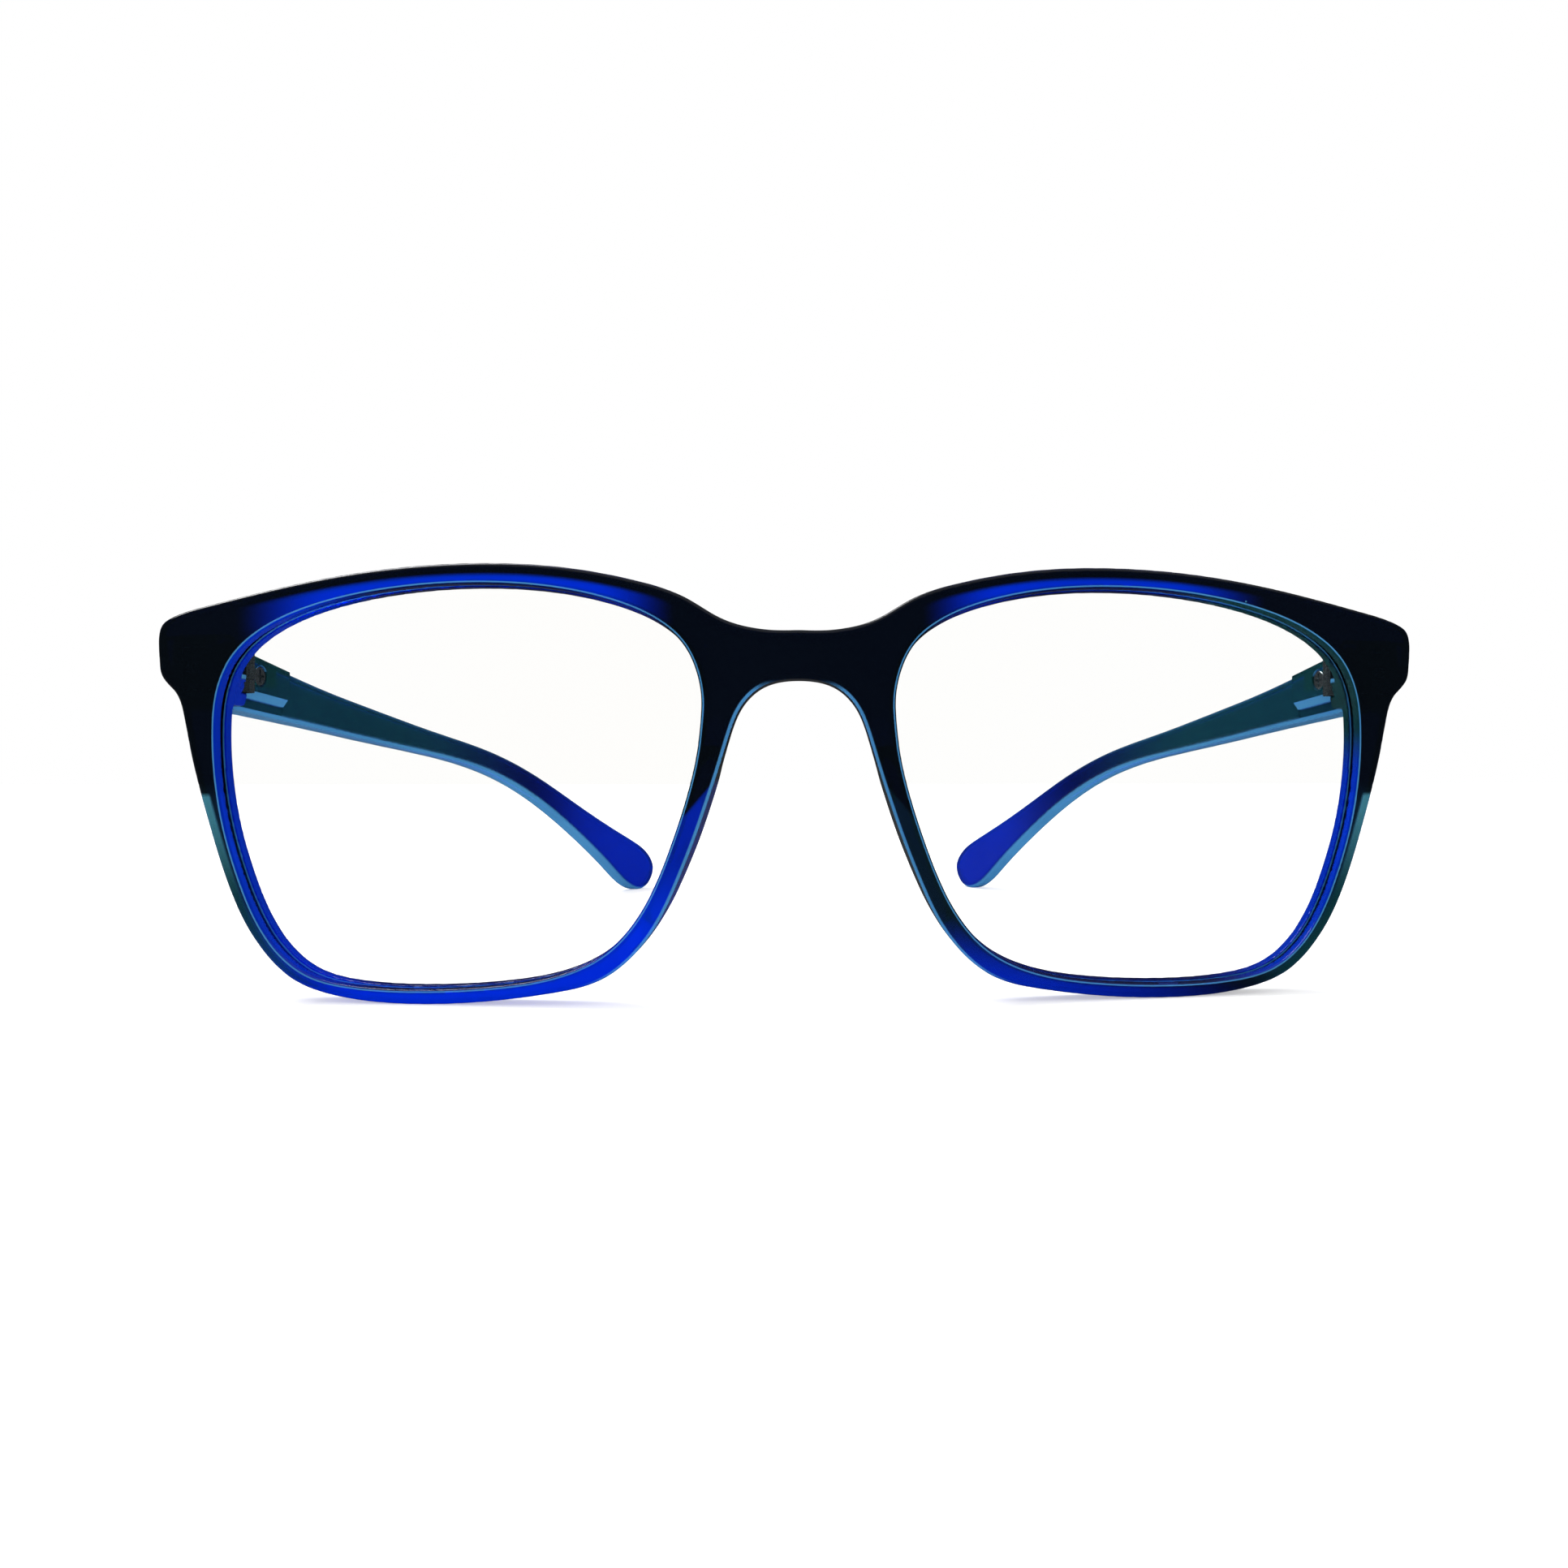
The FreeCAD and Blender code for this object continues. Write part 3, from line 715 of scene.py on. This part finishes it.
def painted_lower_glow(tree, x, side, z):
    """Painted blue glow on the lower rims, from a line that slants up towards the wearer's right."""
    height = maths(tree, "ADD", z, maths(tree, "MULTIPLY", x, LOWER_SLANT))
    return product(tree, fade(tree, height, *LOWER_Z), fade(tree, side, *LOWER_X))


def painted_nose_highlight(tree, inset, side, z, depth):
    # A painted highlight: a pale line round the nose.
    return product(tree, fade(tree, inset, *NOSE_LINE_INSET), fade(tree, side, *NOSE_LINE_X),
                   fade(tree, z, *NOSE_LINE_Z), fade(tree, depth, *NOSE_LINE_DEPTH))


def painted_wall(tree, opening, side):
    # Where painted light covers the wall of each opening.
    return product(tree, fade(tree, opening, *WALL_INSET), fade(tree, side, *WALL_X))


def painted_wall_light(tree, x, side, z):
    """Painted light on the walls of the openings: navy near the nose and blue outwards, with a teal
    upper corner on the wearer's left.
    """
    shade = blend(tree, fade(tree, side, *WALL_BLUE_X), NAVY, PAINTED_GLOW_BLUE)
    corner = product(tree, fade(tree, x, *WALL_TEAL_X), fade(tree, z, *WALL_TEAL_Z))
    return blend(tree, corner, shade, TEAL_SHEEN)


def painted_lip_highlight(tree, opening):
    # A painted highlight: a pale line round each opening.
    return product(tree, fade(tree, opening, *LIP_OUTSIDE), fade(tree, opening, *LIP_INSIDE))


def specks(tree):
    """A few grains of dust on the polished plastic."""
    place = tree.nodes.new("ShaderNodeTexCoord")
    cells = tree.nodes.new("ShaderNodeTexVoronoi")
    cells.inputs["Scale"].default_value = 320.0
    tree.links.new(place.outputs["Object"], cells.inputs["Vector"])
    chance = split_vector(tree, cells.outputs["Color"])["X"]
    dot = fade(tree, cells.outputs["Distance"], 0.045, 0.02)
    return product(tree, dot, maths(tree, "GREATER_THAN", chance, 0.8))


def clouded(tree, shade):
    """The shade, a little deeper in broad soft clouds."""
    cloud = ramp(tree, noise(tree, scale=60), list(zip((0.3, 0.7), CLOUDS)))
    return mix_colours(tree, "MULTIPLY", 1.0, shade, cloud)


def temple_tint_and_painted_light(tree):
    """Painted light on the temples: teal by the hinge and royal blue at the tip, with painted
    highlights, pale on the underside and fainter on the top.
    """
    y = object_axes(tree)[1]
    up = object_normal(tree)[2]
    # Painted highlights, by which way the surface faces.
    underside = fade(tree, up, -0.25, -0.7)
    top = product(tree, fade(tree, up, 0.25, 0.7), 0.3)
    # Painted light along the temple: teal sheen, then navy, then a deep blue glow at the tip.
    shade = blend(tree, fade(tree, y, *TEMPLE_NAVY_Y), TEAL_SHEEN, NAVY)
    shade = blend(tree, fade(tree, y, *TEMPLE_BLUE_Y), shade, DEEP_BLUE_GLOW)
    shade = blend(tree, underside, shade, PALE_HIGHLIGHT)
    shade = blend(tree, top, shade, PALE_HIGHLIGHT)
    return clouded(tree, shade)


# ---- lenses and metal -----------------------------------------------------------------------------
def lens_glass():
    """Clear lens with a faint warm tint; its ground edge carries a painted reflection of the blue rim.
    """
    material, tree, shader = new_material("coated_lens")
    tint = ramp(tree, noise(tree, scale=12), list(zip((0.3, 0.7), LENS_TINTS)))
    # Painted reflection: faces turned away from the front take the rim's blue.
    facing = maths(tree, "ABSOLUTE", object_normal(tree)[1])
    shade = blend(tree, fade(tree, facing, 0.85, 0.6), tint, LENS_EDGE_REFLECTION)
    tree.links.new(shade, shader.inputs["Base Color"])
    shader.inputs["Transmission Weight"].default_value = 1.0
    shader.inputs["IOR"].default_value = 1.0
    shader.inputs["Coat Weight"].default_value = 0.12
    shader.inputs["Coat Roughness"].default_value = 0.02
    smear = grey_ramp(tree, noise(tree, scale=90, detail=4), [(0.4, 0.0), (0.8, 0.012)])
    tree.links.new(smear, shader.inputs["Roughness"])
    return material


def hinge_metal(name, colour, grain_scale):
    """Metal with a fine grain that shows in its shade, its roughness and its surface."""
    material, tree, shader = new_material(name)
    deeper = tuple(c * 0.82 for c in colour)
    shade = ramp(tree, noise(tree, grain_scale, detail=6), [(0.3, deeper), (0.7, colour)])
    tree.links.new(shade, shader.inputs["Base Color"])
    shader.inputs["Metallic"].default_value = 1.0
    worn = grey_ramp(tree, noise(tree, grain_scale * 2, detail=6), [(0.3, 0.18), (0.8, 0.36)])
    tree.links.new(worn, shader.inputs["Roughness"])
    bump(tree, noise(tree, grain_scale * 3), 0.15, 0.01 * MM, shader)
    return material


def give(node, material):
    slots = frame["nodes"][node].data.materials
    slots.clear()
    slots.append(material)


front_plastic = blue_plastic("front_blue_plastic", front_tint_and_painted_light)
temple_plastic = blue_plastic("temple_blue_plastic", temple_tint_and_painted_light)
glass = lens_glass()
nickel = hinge_metal("brushed_nickel_silver", NICKEL, grain_scale=2500)
steel = hinge_metal("polished_screw_steel", STEEL, grain_scale=4000)

front = front_piece()
front.data.materials.append(front_plastic)
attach(front, "front")
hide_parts("front_frame")

for side in ("left", "right"):
    give("temple_" + side, temple_plastic)
    give("lens_" + side, glass)
    for leaf in ("front_hinge_leaf_", "temple_hinge_leaf_"):
        give(leaf + side, nickel)
    for screw in ("pivot_screw_", "front_leaf_screw_", "temple_leaf_screw_"):
        give(screw + side, steel)


# ---- stage, light and camera ----------------------------------------------------------------------
def mirror_image(tree):
    """1 where a polished surface mirrors the room: there the room is a dark one."""
    rays = tree.nodes.new("ShaderNodeLightPath")
    return maths(tree, "GREATER_THAN", rays.outputs["Glossy Depth"], 0.5)


def floor_plane():
    corners = [(x * FLOOR_REACH, y * FLOOR_REACH, 0) for x, y in ((-1, -1), (1, -1), (1, 1), (-1, 1))]
    piece = new_mesh_object("floor", corners, [(0, 1, 2, 3)])
    material, tree, shader = new_material("pale_floor")
    shade = ramp(tree, noise(tree, scale=3), list(zip((0.3, 0.7), FLOOR_SHADES)))
    mirrored = mirror_image(tree)
    tree.links.new(blend(tree, mirrored, shade, MIRRORED_ROOM), shader.inputs["Base Color"])
    shader.inputs["Roughness"].default_value = 0.7
    glow = blend(tree, mirrored, (FLOOR_GLOW,) * 3, (0.0, 0.0, 0.0))
    tree.links.new(glow, shader.inputs["Emission Color"])
    shader.inputs["Emission Strength"].default_value = 1.0
    piece.data.materials.append(material)


def key_light():
    data = bpy.data.lights.new("key", "AREA")
    data.shape = "RECTANGLE"
    data.size, data.size_y = KEY_SIZE
    data.energy = KEY_POWER
    light = bpy.data.objects.new("key", data)
    light.location = KEY_PLACE
    aim = Vector(KEY_TARGET) - Vector(KEY_PLACE)
    light.rotation_euler = aim.to_track_quat("-Z", "Y").to_euler()
    bpy.context.scene.collection.objects.link(light)


def room():
    """A white room. Polished surfaces mirror it as a dark room with a lighter ceiling, which
    keeps their colours deep."""
    world = bpy.data.worlds.new("studio")
    world.use_nodes = True
    tree = world.node_tree
    place = tree.nodes.new("ShaderNodeTexCoord")
    height = split_vector(tree, place.outputs["Generated"])["Z"]
    overhead = fade(tree, height, 0.55, 0.9)
    dark_room = blend(tree, overhead, MIRRORED_ROOM, MIRRORED_CEILING)
    seen = blend(tree, mirror_image(tree), WHITE_ROOM, dark_room)
    background = tree.nodes["Background"]
    tree.links.new(seen, background.inputs["Color"])
    background.inputs["Strength"].default_value = 1.0
    bpy.context.scene.world = world
    bpy.context.scene.view_settings.view_transform = "Standard"


def camera():
    data = bpy.data.cameras.new("camera")
    data.sensor_width = 36.0
    data.lens = CAMERA_LENS
    data.shift_x, data.shift_y = CAMERA_SHIFT
    data.clip_start = 0.005
    shot = bpy.data.objects.new("camera", data)
    shot.location = (CAMERA_X, FRONT_Y - CAMERA_DISTANCE, CAMERA_HEIGHT)
    shot.rotation_euler = (math.radians(90), 0, CAMERA_TURN)
    bpy.context.scene.collection.objects.link(shot)
    bpy.context.scene.camera = shot


floor_plane()
room()
key_light()
camera()
